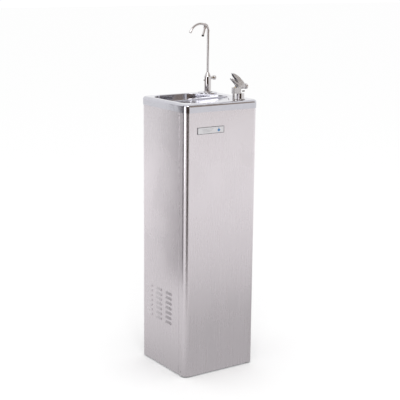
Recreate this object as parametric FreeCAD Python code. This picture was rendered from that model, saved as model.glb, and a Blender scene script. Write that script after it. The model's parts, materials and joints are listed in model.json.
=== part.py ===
import FreeCAD, Part
import os
from math import asin, cos, radians, sin, sqrt

# Refrigerated pedestal drinking fountain, in millimetres.
# Origin: centre of the footprint, on the floor. +X is to the right of someone facing the front,
# +Y goes to the back and +Z goes up. The front panel faces -Y.

V = FreeCAD.Vector
X, Y, Z = V(1, 0, 0), V(0, 1, 0), V(0, 0, 1)

# ---- driving dimensions ----
# basin pan
pan_width = 312.0
pan_depth = 302.0
deck_height = 1000.0
pan_sheet = 1.2
skirt_height = 30.0
rim_radius = 10.0
pan_corner = 22.0
# bowl pressed into the pan
bowl_end_margin = 20.0
bowl_front_margin = 21.0
bowl_corner = 60.0
bowl_nose_margin = 42.0
bowl_nose = 66.0
shoulder_from_tap = 97.0
bowl_back_depth = 28.0
floor_slope = 4.4
trough_rise = 12.94
trough_from_end = 136.0
foot_radius = 6.0
lip_radius = 2.5
# waste
drain_from_back = 88.0
sump_radius = 25.0
sump_depth = 7.0
waste_radius = 16.0
waste_bore = 13.0
waste_flange = 2.0
waste_length = 48.0
waste_nut_height = 9.0
drain_wall = 2.0
drain_bend = 26.0
drain_outlet_height = 62.0
drain_from_bay = 30.0
# cabinet sheet metal
panel_inset = 2.0
panel_sheet = 1.2
panel_corner = 20.0
panel_bottom = 5.0
panel_below_deck = 16.0
return_depth = 42.0
panel_gap = 0.8
seam_flange = 8.0
seam_bend = 2.4
rear_flange = 20.0
bay_height = 200.0
bay_depth = 28.0
# louvres, on both side panels
louvre_columns = 3
louvre_rows = 7
louvre_length = 36.0
louvre_pitch_y = 67.0
louvre_pitch_z = 18.7
louvre_drop = 9.0
louvre_proud = 3.2
louvre_top = 297.0
louvre_middle_y = 26.0
# frame
frame_gap = 0.3
tray_sheet = 2.0
tray_bottom = 8.0
tray_height = 32.0
post_leg = 22.0
post_sheet = 2.0
post_below_deck = 15.0
shelf_below_deck = 440.0
shelf_lip = 16.0
# feet
foot_inset_x = 21.0
foot_inset_y = 21.0
foot_radius_pad = 12.0
stud_radius = 4.0
stud_length = 28.0
# badge
badge_width = 112.0
badge_height = 24.0
badge_thick = 1.5
badge_corner = 3.0
badge_centre_x = -50.5
badge_below_deck = 95.0
# taps
tap_shank = 10.0
tap_shank_length = 50.0
tap_hole_gap = 0.5
shank_nut = 17.0
shank_nut_height = 8.0
water_bore = 4.0
running_gap = 0.05
stem_radius = 3.0
# bubbler
bubbler_from_side = 56.0
bubbler_from_front = 36.0
bubbler_base_radius = 16.5
bubbler_base_height = 2.5
bubbler_radius = 14.0
bubbler_column_height = 23.0
guard_half_width = 13.0
guard_wall = 2.6
guard_ridge = 7.0
guard_taper_from = 58.0
guard_beak = 52.0
guard_tip_narrowing = 7.0
guard_nozzle_half = 8.0
nozzle_offset = 29.0
nozzle_radius = 4.5
feed_radius = 4.8
bubbler_button_height = 46.0
bubbler_button_radius = 10.2
# glass filler
filler_from_side = 49.0
filler_from_back = 47.0
boss_radius = 36.0
boss_height = 4.0
filler_base_radius = 15.5
filler_radius = 13.0
filler_column_height = 58.0
filler_button_height = 52.0
filler_button_radius = 8.5
gland_height = 14.0
neck_radius = 4.5
neck_bore = 3.0
neck_rise = 229.0
crook_radius = 20.0
crook_turn = 60.0
arch_radius = 48.0
arch_turn = 88.0
outlet_run = 8.0
outlet_radius = 5.6
outlet_length = 9.0
# trigger lever
pin_radius = 1.5
lever_length = 33.0
lever_lean = 17.0
lever_thick = 5.0
lever_width = 9.0
tip_length = 6.0
knuckle_radius = 6.6
knuckle_length = 12.0
# refrigeration
compressor_radius = 62.0
compressor_height = 150.0
compressor_x = 12.0
compressor_y = -48.0
mount_height = 14.0
condenser_depth = 34.0
condenser_length = 150.0
condenser_height = 120.0
condenser_fins = 20
fin_sheet = 0.8
drier_radius = 9.0
drier_length = 68.0
fan_radius = 48.0
fan_hub = 14.0
fan_blades = 5
motor_radius = 22.0
tank_radius = 60.0
tank_height = 220.0
tank_wall = 1.0
port_places = ((34.0, -20.0), (34.0, 20.0), (-30.0, 30.0))
coil_wire = 3.2
coil_turns = 8.5
coil_inset = 25.0
capillary_radius = 1.4
coil_gap = 0.4
jacket_wall = 26.0
tank_y = -22.0
line_radius = 3.2
water_line = 4.0
supply_y = 20.0
# rear connections
inlet_thread = 10.48
inlet_length = 20.0
inlet_x = 108.0
inlet_z = 112.0
knob_x = -82.0
knob_z = 132.0
knob_radius = 13.0
socket_x = -24.0
socket_z = 120.0
outlet_x = 58.0

# ---- places worked out from them ----
half_x = pan_width / 2
half_y = pan_depth / 2
deck = deck_height
panel_top = deck - panel_below_deck
post_top = deck - post_below_deck
shelf_height = deck - shelf_below_deck
badge_centre_z = deck - badge_below_deck
under_deck = deck - pan_sheet
panel_x = half_x - panel_inset
panel_y = half_y - panel_inset
inner_x = panel_x - panel_sheet
inner_y = panel_y - panel_sheet
tray_x = inner_x - frame_gap
tray_y = inner_y - frame_gap
tray_floor = tray_bottom + tray_sheet
post_x = tray_x - tray_sheet
post_y = tray_y - tray_sheet
bay_y = panel_y - bay_depth
foot_x = panel_x - foot_inset_x
foot_y = panel_y - foot_inset_y
bx = half_x - bubbler_from_side
by = -half_y + bubbler_from_front
fx = half_x - filler_from_side
fy = half_y - filler_from_back
boss_top = deck + boss_height
bowl_left = -half_x + bowl_end_margin
bowl_right = half_x - bowl_nose_margin
bowl_back = half_y - bowl_front_margin
shoulder_x = fx - shoulder_from_tap
trough_x = -half_x + trough_from_end
trough_radius = ((bowl_right - trough_x) ** 2 + trough_rise ** 2) / (2 * trough_rise)
drain_y = half_y - drain_from_back
sump_floor = deck - bowl_back_depth + (bowl_back - drain_y) * sin(radians(floor_slope)) - sump_depth
waste_end = sump_floor + waste_flange - waste_length
shelf_top = shelf_height + tray_sheet
jacket_inner = tank_radius + 2 * coil_wire + 2 * coil_gap
jacket_radius = jacket_inner + jacket_wall
tank_bottom = shelf_top + jacket_wall
tank_top = tank_bottom + tank_height
jacket_top = tank_top + jacket_wall
coil_mean = tank_radius + coil_gap + coil_wire
coil_low = tank_bottom + coil_inset
coil_high = tank_top - coil_inset
corner_in_tray = panel_corner - panel_sheet - frame_gap - tray_sheet
corner_in_post = corner_in_tray - post_sheet
condenser_x = -inner_x + 8
condenser_z = louvre_top - louvre_pitch_z * (louvre_rows - 1) / 2 - condenser_height / 2
fan_z = condenser_z + condenser_height / 2
fan_y = louvre_middle_y
shroud_x = condenser_x + condenser_depth
condenser_end = fan_y - condenser_length / 2 - 4
drier_z = condenser_z + condenser_height * 0.1
capillary_x = condenser_x + condenser_depth * 0.28
capillary_y = condenser_end - drier_length - 8


# ---- small helpers ----
def box(x0, x1, y0, y1, z0, z1):
    return Part.makeBox(x1 - x0, y1 - y0, z1 - z0, V(x0, y0, z0))


def rod(radius, start, length, direction=Z):
    return Part.makeCylinder(radius, length, start, direction)


def ring(outer, inner, start, length, direction=Z):
    return rod(outer, start, length, direction).cut(rod(inner, start, length, direction))


def hexagon(flats, start, height, direction=Z):
    corner = flats / sqrt(3)
    side = X if abs(direction.x) < 0.5 else Y
    other = direction.cross(side)
    points = [start + side * (corner * cos(radians(60 * k))) + other * (corner * sin(radians(60 * k)))
              for k in range(7)]
    return Part.Face(Part.makePolygon(points)).extrude(direction * height)


def rounded_box(x0, x1, y0, y1, z0, z1, corner):
    block = box(x0, x1, y0, y1, z0, z1)
    upright = [e for e in block.Edges if abs(e.tangentAt(e.FirstParameter).z) > 0.9]
    return block.makeFillet(corner, upright)


def fused(shapes):
    return shapes[0].multiFuse(shapes[1:]).removeSplitter()


def belt(circles, grow=0.0):
    """Wire round a set of circles (x, y, radius) listed counter-clockwise, like a belt on pulleys."""
    runs = []
    for (x0, y0, r0), (x1, y1, r1) in zip(circles, circles[1:] + circles[:1]):
        along = V(x1 - x0, y1 - y0, 0)
        gap = along.Length
        along.normalize()
        outward = V(along.y, -along.x, 0)
        tilt = asin((r0 - r1) / gap)
        normal = outward * cos(tilt) + along * sin(tilt)
        runs.append((V(x0, y0, 0) + normal * (r0 + grow), V(x1, y1, 0) + normal * (r1 + grow), normal))
    edges = []
    for k, (start, end, normal) in enumerate(runs):
        edges.append(Part.LineSegment(start, end).toShape())
        following, _, next_normal = runs[(k + 1) % len(runs)]
        x1, y1, r1 = circles[(k + 1) % len(circles)]
        middle = normal + next_normal
        middle.normalize()
        if (following - end).Length > 1e-6:
            edges.append(Part.Arc(end, V(x1, y1, 0) + middle * (r1 + grow), following).toShape())
    return Part.Wire(edges)


def belt_prism(circles, z0, z1, grow=0.0):
    face = Part.Face(belt(circles, grow))
    face.translate(V(0, 0, z0))
    return face.extrude(V(0, 0, z1 - z0))


def link(p0, r0, p1, r1, y0, y1):
    """Flat tapered link in the XZ plane, round at both ends."""
    circles = [(p0.x, p0.z, r0), (p1.x, p1.z, r1)]
    plate = belt_prism(circles, -y1, -y0)
    plate.rotate(V(0, 0, 0), X, 90)
    return plate


def outline_prism(points, y0, y1):
    """Prism along Y. Points are (x, z), and a triple of points in a list is an arc."""
    edges = []
    here = None
    for item in points:
        if isinstance(item, list):
            through, end = [V(px, y0, pz) for px, pz in item]
            edges.append(Part.Arc(here, through, end).toShape())
            here = end
        else:
            end = V(item[0], y0, item[1])
            if here is not None:
                edges.append(Part.LineSegment(here, end).toShape())
            here = end
    return Part.Face(Part.Wire(edges)).extrude(V(0, y1 - y0, 0))


def route(points, bend):
    """Wire through points, with a tangent arc at each inner one."""
    edges = []
    here = points[0]
    for before, corner, after in zip(points, points[1:], points[2:]):
        back = before - corner
        back.normalize()
        ahead = after - corner
        ahead.normalize()
        half_turn = back.getAngle(ahead) / 2
        reach = bend * cos(half_turn) / sin(half_turn)
        start = corner + back * reach
        end = corner + ahead * reach
        bisector = back + ahead
        bisector.normalize()
        middle = corner + bisector * (bend / sin(half_turn) - bend)
        edges.append(Part.LineSegment(here, start).toShape())
        edges.append(Part.Arc(start, middle, end).toShape())
        here = end
    edges.append(Part.LineSegment(here, points[-1]).toShape())
    return Part.Wire(edges)


def swept(wire, radius):
    start = wire.Edges[0]
    direction = start.tangentAt(start.FirstParameter)
    profile = Part.Wire(Part.makeCircle(radius, start.valueAt(start.FirstParameter), direction))
    return wire.makePipeShell([profile], True, False)


def pipe(points, radius, bend, bore=0.0):
    wire = route(points, bend)
    solid = swept(wire, radius)
    return solid.cut(swept(wire, bore)) if bore else solid


def spring(start, direction, length, mean, wire, turns):
    """Compression spring of eight-sided wire that fills length from start, along direction."""
    corners = [radians(45 * k) for k in range(9)]
    profile = Part.makePolygon([V(mean + wire / 2 * cos(a), 0, wire / 2 * sin(a)) for a in corners])
    helix = Part.makeHelix((length - wire) / turns, length - wire, mean)
    coil = Part.Wire(helix.Edges).makePipeShell([profile], True, True)
    coil.translate(V(0, 0, wire / 2))
    coil.Placement = FreeCAD.Placement(start, FreeCAD.Rotation(Z, direction)).multiply(coil.Placement)
    return coil


def save(name, shape):
    if not shape.isValid():
        print("NOT VALID", name)
    shape.exportStep("parts/" + name + ".step")


# ---- fastener places, shared by the screws and by the holes they pass ----
side_screws = [(side, -panel_y + return_depth - 12, tray_bottom + 10) for side in (-1, 1)]
rear_screws = [(side * across, height) for side in (-1, 1)
               for across, height in ((panel_x - rear_flange + panel_gap - 4.5, bay_height + 30),
                                      (panel_x - rear_flange + panel_gap - 4.5, panel_top - 60),
                                      (panel_x - rear_flange / 2 - 2, bay_height - 80),
                                      (panel_x - rear_flange / 2 - 2, 600.0))]
screw_shank = 2.0
screw_head = 3.8


def screw_holes(radius):
    holes = []
    for side, y, z in side_screws:
        holes.append(rod(radius, V(side * (panel_x + 1), y, z), 14, X * -side))
    for x, z in rear_screws:
        holes.append(rod(radius, V(x, panel_y + 1, z), 12, Y * -1))
    return holes


def drilled(shape):
    return shape.cut(screw_holes(screw_shank + 0.2))


# ---- frame ----
def base_tray():
    tray = rounded_box(-tray_x, tray_x, -tray_y, tray_y, tray_bottom, tray_bottom + tray_height,
                       panel_corner - panel_sheet - frame_gap)
    well = rounded_box(-post_x, post_x, -post_y, post_y, tray_floor, tray_bottom + tray_height + 1,
                       corner_in_tray)
    holes = [rod(stud_radius + 0.5, V(sx * foot_x, sy * foot_y, 0), 40) for sx in (-1, 1) for sy in (-1, 1)]
    return drilled(tray.cut([well] + holes))


def post(sx, sy):
    outer = rounded_box(-post_x, post_x, -post_y, post_y, tray_floor, post_top, corner_in_tray)
    inner = rounded_box(-post_x + post_sheet, post_x - post_sheet, -post_y + post_sheet, post_y - post_sheet,
                        tray_floor - 1, post_top + 1, corner_in_post)
    x0, x1 = sorted((sx * (post_x - post_leg), sx * half_x))
    y0, y1 = sorted((sy * (post_y - post_leg), sy * half_y))
    return drilled(outer.cut(inner).common(box(x0, x1, y0, y1, 0, deck)))


def basin_frame():
    """Angle ring on the posts that carries the pan."""
    flat = box(-post_x, post_x, -post_y, post_y, post_top, post_top + post_sheet)
    lip_x = -bowl_left + pan_sheet + 3
    lip_y = bowl_back + pan_sheet + 3
    lip = box(-lip_x - post_sheet, lip_x + post_sheet, -lip_y - post_sheet, lip_y + post_sheet,
              post_top, under_deck)
    hole = box(-lip_x, lip_x, -lip_y, lip_y, post_top - 1, deck)
    frame = flat.fuse(lip).cut(hole)
    upright = [e for e in frame.Edges if e.Length > 1.5 and abs(abs(e.CenterOfMass.x) - post_x) < 0.01
               and abs(abs(e.CenterOfMass.y) - post_y) < 0.01]
    return frame.makeFillet(corner_in_tray, upright)


def tank_shelf():
    x = post_x - post_sheet
    y = post_y - post_sheet
    shelf = rounded_box(-x, x, -y, y, shelf_height - shelf_lip, shelf_top, corner_in_post)
    under = box(-x - 1, x + 1, -y + tray_sheet, y - tray_sheet, shelf_height - shelf_lip - 1, shelf_height)
    vent = box(-x + 24, -jacket_radius - 8, -60, 60, 0, deck)
    pipes = [rod(waste_radius + 3, V(outlet_x, bay_y - drain_from_bay, 0), deck),
             rod(water_line + 3, V(inlet_x, supply_y, 0), deck),
             rod(line_radius + 3, V(coil_mean, tank_y, 0), deck),
             rod(capillary_radius + 3, V(capillary_x, capillary_y, 0), deck)]
    return shelf.cut([under, vent] + pipes)


# ---- cabinet panels ----
def cabinet_tube():
    outer = rounded_box(-panel_x, panel_x, -panel_y, panel_y, panel_bottom, panel_top, panel_corner)
    inner = rounded_box(-inner_x, inner_x, -inner_y, inner_y, panel_bottom - 1, panel_top + 1,
                        panel_corner - panel_sheet)
    return outer.cut(inner)


def seam_fold(panel, sx, y, inward):
    """Turns a panel's upright edge at y into the cabinet, with a rounded bend, notched for the tray and the shelf."""
    near, far = sorted((y, y + inward * panel_sheet))
    inner, outer = sorted((sx * panel_x, sx * (panel_x - seam_flange)))
    panel = panel.fuse(box(inner, outer, near, far, panel_bottom, panel_top)).removeSplitter()
    bend = [e for e in panel.Edges if abs(e.BoundBox.XLength) < 0.01 and abs(e.BoundBox.YLength) < 0.01
            and abs(e.CenterOfMass.y - y) < 0.01 and abs(e.CenterOfMass.x - sx * panel_x) < 0.01]
    panel = panel.makeFillet(seam_bend, bend)
    inner, outer = sorted((sx * inner_x, sx * (panel_x - seam_flange - 1)))
    spans = ((panel_bottom - 1, tray_bottom + tray_height + frame_gap),
             (shelf_height - shelf_lip - frame_gap, shelf_top + frame_gap))
    return panel.cut([box(inner, outer, near - 1, far + 1, low, high) for low, high in spans])


def front_cover():
    edge = -panel_y + return_depth
    cover = cabinet_tube().common(box(-half_x, half_x, -half_y, edge, 0, deck))
    for sx in (-1, 1):
        cover = seam_fold(cover, sx, edge, -1)
    return drilled(cover)


def louvre(y, z, proud, drop, length):
    """Wedge that leans out from the left panel's face, open side down."""
    points = [(-panel_x + panel_sheet, z), (-panel_x, z), (-panel_x - proud, z - drop),
              (-panel_x + panel_sheet, z - drop), (-panel_x + panel_sheet, z)]
    return outline_prism(points, y - length / 2, y + length / 2)


def side_panel(sx):
    start = -panel_y + return_depth + panel_gap
    keep = box(-half_x, -panel_x + rear_flange, start, half_y, 0, deck)
    panel = cabinet_tube().common(keep)
    places = [(louvre_middle_y + (c - (louvre_columns - 1) / 2) * louvre_pitch_y, louvre_top - r * louvre_pitch_z)
              for c in range(louvre_columns) for r in range(louvre_rows)]
    hoods = [louvre(y, z + louvre_drop / 2, louvre_proud, louvre_drop, louvre_length) for y, z in places]
    slots = [louvre(y, z + louvre_drop / 2 - panel_sheet * 1.4, louvre_proud, louvre_drop,
                    louvre_length - 2 * panel_sheet) for y, z in places]
    panel = panel.multiFuse(hoods).cut(slots)
    panel = drilled(seam_fold(panel, -1, start, 1))
    return panel.mirror(V(0, 0, 0), X) if sx > 0 else panel


def rear_panel():
    x = panel_x - rear_flange - panel_gap
    return drilled(box(-x, x, inner_y, panel_y, bay_height, panel_top))


def connection_plate():
    """Set-back plate above the tray that carries the water, power and drain connections."""
    x = post_x - post_sheet - 2
    top = bay_height + 6
    flange_x = panel_x - rear_flange - panel_gap - 6
    plate = box(-x, x, bay_y - tray_sheet, bay_y, tray_floor, top)
    shelf = box(-flange_x, flange_x, bay_y - tray_sheet, inner_y, top, top + tray_sheet)
    holes = [rod(waste_radius + 0.5, V(outlet_x, 0, drain_outlet_height), half_y, Y),
             rod(inlet_thread + 0.4, V(inlet_x, 0, inlet_z), half_y, Y),
             rod(stem_radius + 1.5, V(knob_x, 0, knob_z), half_y, Y),
             box(socket_x - 14, socket_x + 14, 0, half_y, socket_z - 11, socket_z + 11)]
    plate = plate.cut(holes)
    return plate.fuse(shelf).removeSplitter()


def panel_screws():
    shank = 9.0
    screws = []
    for side, y, z in side_screws:
        head = rod(screw_head, V(side * panel_x, y, z), 1.6, X * side)
        head = head.makeFillet(1.0, [e for e in head.Edges if abs(abs(e.CenterOfMass.x) - panel_x) > 1])
        screws.append(head.fuse(rod(screw_shank, V(side * panel_x, y, z), shank, X * -side)))
    for x, z in rear_screws:
        head = rod(screw_head, V(x, panel_y, z), 1.6, Y)
        screws.append(head.fuse(rod(screw_shank, V(x, panel_y, z), shank, Y * -1)))
    return Part.makeCompound(screws)


def badge_plate():
    x0 = badge_centre_x - badge_width / 2
    z0 = badge_centre_z - badge_height / 2
    plate = box(x0, x0 + badge_width, -panel_y - badge_thick, -panel_y, z0, z0 + badge_height)
    plate = plate.makeFillet(badge_corner, [e for e in plate.Edges
                                            if abs(e.tangentAt(e.FirstParameter).y) > 0.9])
    front = [f for f in plate.Faces if abs(f.CenterOfMass.y + panel_y + badge_thick) < 0.01][0]
    return plate.makeChamfer(0.7, front.Edges)


def feet():
    pads = []
    studs = []
    for sx in (-1, 1):
        for sy in (-1, 1):
            centre = V(sx * foot_x, sy * foot_y, 0)
            pad = rod(foot_radius_pad, centre, panel_bottom)
            pads.append(pad.makeFillet(1.0, [e for e in pad.Edges if abs(e.CenterOfMass.z) < 0.01]))
            stud = rod(stud_radius, centre + Z * panel_bottom, stud_length)
            stud = stud.fuse(hexagon(13, centre + Z * panel_bottom, tray_bottom - panel_bottom))
            studs.append(stud.fuse(hexagon(13, centre + Z * tray_floor, 6.5)))
    return Part.makeCompound(pads), Part.makeCompound(studs)


# ---- basin ----
def bowl_outline():
    left = bowl_left + bowl_corner
    back = bowl_back - bowl_corner
    nose = bowl_right - bowl_nose
    return [(left, -back, bowl_corner), (shoulder_x, -back, bowl_corner), (nose, 0, bowl_nose),
            (shoulder_x, back, bowl_corner), (left, back, bowl_corner)]


def cavity(grow):
    """Space inside the bowl, or its outer shape when grown by the sheet."""
    walls = belt_prism(bowl_outline(), deck - bowl_back_depth - 40, deck, grow)
    low = V(trough_x, bowl_back, deck - bowl_back_depth - grow)
    trough = rod(trough_radius + grow, V(trough_x, -3 * half_y, low.z + trough_radius + grow),
                 6 * half_y, Y)
    trough.rotate(low, X, -floor_slope)
    space = walls.common(trough)
    floor = [f for f in space.Faces if isinstance(f.Surface, Part.Cylinder)
             and f.Surface.Radius > trough_radius - 1][0]
    space = space.makeFillet(foot_radius + grow, floor.Edges)
    sump = rod(sump_radius + grow, V(trough_x, drain_y, sump_floor - grow), sump_depth + 12)
    return space.fuse(sump)


def pan_block(inset):
    block = rounded_box(-half_x + inset, half_x - inset, -half_y + inset, half_y - inset,
                        deck - skirt_height - inset, deck - inset, pan_corner - inset)
    top = [e for e in block.Edges if abs(e.CenterOfMass.z - deck + inset) < 0.01]
    return block.makeFillet(rim_radius - inset, top)


def top_basin():
    boss = rod(boss_radius, V(fx, fy, deck - pan_sheet), boss_height + pan_sheet)
    boss = boss.makeFillet(3.0, [e for e in boss.Edges if abs(e.CenterOfMass.z - boss_top) < 0.01])
    boss_under = rod(boss_radius - pan_sheet, V(fx, fy, deck - 2 * pan_sheet), boss_height + pan_sheet)
    basin = pan_block(0).cut(pan_block(pan_sheet))
    basin = basin.multiFuse([cavity(pan_sheet), boss])
    basin = basin.cut([cavity(0), boss_under])
    lip = [e for e in basin.Edges if abs(e.BoundBox.ZMin - deck) < 0.01 and abs(e.BoundBox.ZMax - deck) < 0.01
           and abs(e.CenterOfMass.x) < half_x - bowl_end_margin + 1
           and abs(e.CenterOfMass.y) < bowl_back + 1
           and (e.CenterOfMass - V(fx, fy, deck)).Length > boss_radius]
    basin = basin.makeFillet(lip_radius, lip).removeSplitter()
    hole = tap_shank + tap_hole_gap
    return basin.cut([rod(hole, V(bx, by, deck - 20), 60), rod(hole, V(fx, fy, deck - 20), 60),
                      rod(waste_radius + tap_hole_gap, V(trough_x, drain_y, sump_floor - 20), 40)])


def basin_strainer():
    level = sump_floor + waste_flange
    centre = V(trough_x, drain_y, level)
    disc = rod(sump_radius - 1.5, centre, 1.2)
    holes = [rod(1.8, centre, 2)]
    for count, radius in ((6, 6.0), (12, 12.0), (18, 18.0)):
        for k in range(count):
            turn = radians(360 / count * k)
            holes.append(rod(1.8, centre + V(radius * cos(turn), radius * sin(turn), 0), 2))
    return disc.cut(holes)


def waste_fitting():
    base = V(trough_x, drain_y, sump_floor)
    flange = rod(sump_radius - 1.5, base, waste_flange)
    tail = rod(waste_radius, V(trough_x, drain_y, waste_end), sump_floor - waste_end)
    bore = rod(waste_bore, V(trough_x, drain_y, waste_end - 1), waste_length + 5)
    return flange.fuse(tail).cut(bore)


def waste_nut():
    top = sump_floor - pan_sheet
    base = V(trough_x, drain_y, top - waste_nut_height)
    nut = hexagon(44, base, waste_nut_height)
    return nut.cut(rod(waste_radius, base - Z, waste_nut_height + 2))


def drain_pipe():
    points = [V(trough_x, drain_y, waste_end), V(trough_x, drain_y, waste_end - 46),
              V(outlet_x, bay_y - drain_from_bay, waste_end - 72), V(outlet_x, bay_y - drain_from_bay, drain_outlet_height),
              V(outlet_x, panel_y - 2, drain_outlet_height)]
    spigot = V(outlet_x, bay_y, drain_outlet_height)
    collar = ring(waste_radius + 3, waste_radius - drain_wall, spigot, 3, Y)
    return pipe(points, waste_radius, drain_bend, waste_radius - drain_wall).fuse(collar)


# ---- bubbler ----
def bubbler_column():
    base = rod(bubbler_base_radius, V(bx, by, deck), bubbler_base_height)
    base = base.makeFillet(1.5, [e for e in base.Edges if e.CenterOfMass.z > deck + 1])
    column = rod(bubbler_radius, V(bx, by, deck), bubbler_column_height)
    shank = rod(tap_shank, V(bx, by, deck - tap_shank_length), tap_shank_length)
    bore = rod(water_bore, V(bx, by, deck - tap_shank_length - 1), tap_shank_length + bubbler_column_height + 2)
    return fused([base, column, shank]).cut(bore)


def beak_taper(half_width):
    """Wedge that narrows the mouth guard from its root to its tip, for walls half_width from the middle."""
    along = V(-1, 0, 1)
    along.normalize()
    across = V(1, 0, 1)
    root = V(0, 0, guard_taper_from) - across * 60
    tip = half_width - guard_tip_narrowing
    points = [root - along * 90 + Y * half_width, root + Y * half_width, root + along * guard_beak + Y * tip,
              root + along * guard_beak - Y * tip, root - Y * half_width, root - along * 90 - Y * half_width]
    return Part.Face(Part.makePolygon(points + points[:1])).extrude(across * 120)


def bubbler_guard():
    """Cast body with a beak-shaped mouth guard over the jet. Worked in (x, z) from the tap's axis."""
    low = bubbler_column_height
    block_top = low + 21
    profile = [(-37, low), (14.5, low), (14.5, 49), [(12.6, 57.2), (7.3, 65.0)], (-9, 80.0),
               [(-22, 89.0), (-38, 96)], [(-34.6, 87.5), (-29.5, 80.5)], [(-20.8, 70.5), (-17, 59.0)],
               (-40.5, 77.4), (-43, 75.2), (-16.5, 50.5), (-18, block_top), (-37, block_top), (-37, low)]
    body = outline_prism(profile, -guard_half_width, guard_half_width)
    ridge = [e for e in body.Edges if abs(abs(e.CenterOfMass.y) - guard_half_width) < 0.01
             and (e.CenterOfMass.x > 8 or e.CenterOfMass.z > 70 and e.BoundBox.XMax > -12)
             and e.BoundBox.ZMax > low + 1]
    body = body.makeFillet(guard_ridge, ridge)
    body = body.common(beak_taper(guard_half_width))
    tongue = belt_prism([(0, 0, guard_half_width + 1.5), (-nozzle_offset, 0, guard_nozzle_half)][::-1],
                        low - 1, block_top + 0.5)
    upper = box(-60, 30, -20, 20, block_top + 0.5, 120)
    body = body.common(tongue.fuse(upper))
    channel = [(-52, 97), (-37, 92.2), [(-22.5, 85.6), (-12, 77.6)], (-5, 70.5), (-5, 65), (-13, 50.5),
               (-19, 46), (-60, 84), (-52, 97)]
    inside = guard_half_width - guard_wall
    hollow = outline_prism(channel, -inside, inside)
    top = [e for e in hollow.Edges if abs(abs(e.CenterOfMass.y) - inside) < 0.01
           and e.CenterOfMass.z > 72 and -34 < e.CenterOfMass.x < -7]
    hollow = hollow.makeFillet(4.0, top).common(beak_taper(inside))
    well = rod(7.0, V(-nozzle_offset + 6, 0, low + 8), 30)
    boss = rod(8.5, V(4, 0, bubbler_button_height), 17, X)
    pocket = rod(6.2, V(13, 0, bubbler_button_height), 10, X)
    bore = rod(stem_radius + running_gap, V(-9, 0, bubbler_button_height), 30, X)
    waterway = rod(water_bore, V(-4, 0, low - 1), 18)
    body = body.fuse(boss).cut([hollow, well, pocket, bore, waterway])
    body.translate(V(bx, by, deck))
    return body


def bubbler_nozzle():
    base = V(bx - nozzle_offset + 6, by, deck + bubbler_column_height + 8)
    seat = rod(6.9, base, 3)
    jet = rod(nozzle_radius - 1, base + Z * 3, 9)
    tip = Part.makeCone(nozzle_radius - 1, 2.2, 3, base + Z * 12)
    nozzle = fused([seat, jet, tip])
    return nozzle.cut(rod(1.2, base - Z, 20))


def bubbler_feed_tube():
    base = V(bx - nozzle_offset, by, deck)
    tube = rod(feed_radius, base, bubbler_column_height)
    flange = rod(feed_radius + 1.4, base, 1.2)
    return fused([tube, flange])


def push_button(start, radius, length, dome, cup_radius, cup_depth):
    """Button along +X whose open rim, if it has one, is at start."""
    head = rod(radius, start, length, X)
    outer = [e for e in head.Edges if abs(e.CenterOfMass.x - start.x - length) < 0.01]
    inner = [e for e in head.Edges if abs(e.CenterOfMass.x - start.x) < 0.01]
    head = head.makeFillet(dome, outer)
    if cup_depth:
        return head.cut(rod(cup_radius, start - X, cup_depth + 1, X))
    return head.makeFillet(1.5, [e for e in head.Edges if abs(e.CenterOfMass.x - start.x) < 0.01
                                 and e.Length > 2 * radius])


def bubbler_push():
    centre = V(bx, by, deck + bubbler_button_height)
    button = push_button(centre + X * 18.8, bubbler_button_radius, 9.7, 3.5, 8.9, 6.7)
    stem = rod(stem_radius, centre - X * 3.5, 29, X)
    coil = spring(centre + X * 13, X, 12.5, 4.6, 0.9, 4)
    return button, stem, coil


def shank_nut_under(x, y, level):
    washer = ring(shank_nut + 2, tap_shank, V(x, y, level - 1.5), 1.5)
    nut = hexagon(30, V(x, y, level - 1.5 - shank_nut_height), shank_nut_height)
    return washer.fuse(nut.cut(rod(tap_shank, V(x, y, level - 20), 30)))


# ---- glass filler ----
def filler_column():
    base = rod(filler_base_radius, V(fx, fy, boss_top), 2.0)
    base = base.makeFillet(1.2, [e for e in base.Edges if e.CenterOfMass.z > boss_top + 1])
    column = rod(filler_radius, V(fx, fy, boss_top), filler_column_height)
    shank = rod(tap_shank, V(fx, fy, boss_top - tap_shank_length), tap_shank_length)
    centre = V(fx, fy, boss_top + filler_button_height)
    bushing = rod(5.8, centre + X * 8, 11.5, X)
    body = fused([base, column, shank, bushing])
    socket_floor = centre.z + stem_radius + 1.7
    socket = rod(neck_radius + running_gap, V(fx, fy, socket_floor), 40)
    waterway = rod(neck_bore, V(fx, fy, boss_top - tap_shank_length - 1), 200)
    stem_bore = rod(stem_radius + running_gap, centre - X * 4, 40, X)
    pocket = rod(4.8, centre + X * 9, 30, X)
    return body.cut([socket, waterway, stem_bore, pocket])


def filler_gland_nut():
    base = V(fx, fy, boss_top + filler_column_height)
    cone = Part.makeCone(filler_radius - 0.4, neck_radius + 2.2, gland_height, base)
    return cone.cut(rod(neck_radius + running_gap, base - Z, gland_height + 2))


def neck_route():
    """Points and turns of the swan neck, in the XZ plane through the column's axis."""
    foot = boss_top + filler_button_height + stem_radius + 2.0
    start = V(fx, fy, foot)
    rise_end = V(fx, fy, boss_top + neck_rise)
    crook_centre = rise_end - X * crook_radius
    crook = [crook_centre + X * (crook_radius * cos(radians(a))) + Z * (crook_radius * sin(radians(a)))
             for a in (crook_turn / 2, crook_turn)]
    outward = X * cos(radians(crook_turn)) + Z * sin(radians(crook_turn))
    arch_centre = crook[1] - outward * arch_radius
    arch = [arch_centre + X * (arch_radius * cos(radians(a))) + Z * (arch_radius * sin(radians(a)))
            for a in (crook_turn + arch_turn / 2, crook_turn + arch_turn)]
    heading = crook_turn + arch_turn + 90
    run = X * cos(radians(heading)) + Z * sin(radians(heading))
    return start, rise_end, crook, arch, run


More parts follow.
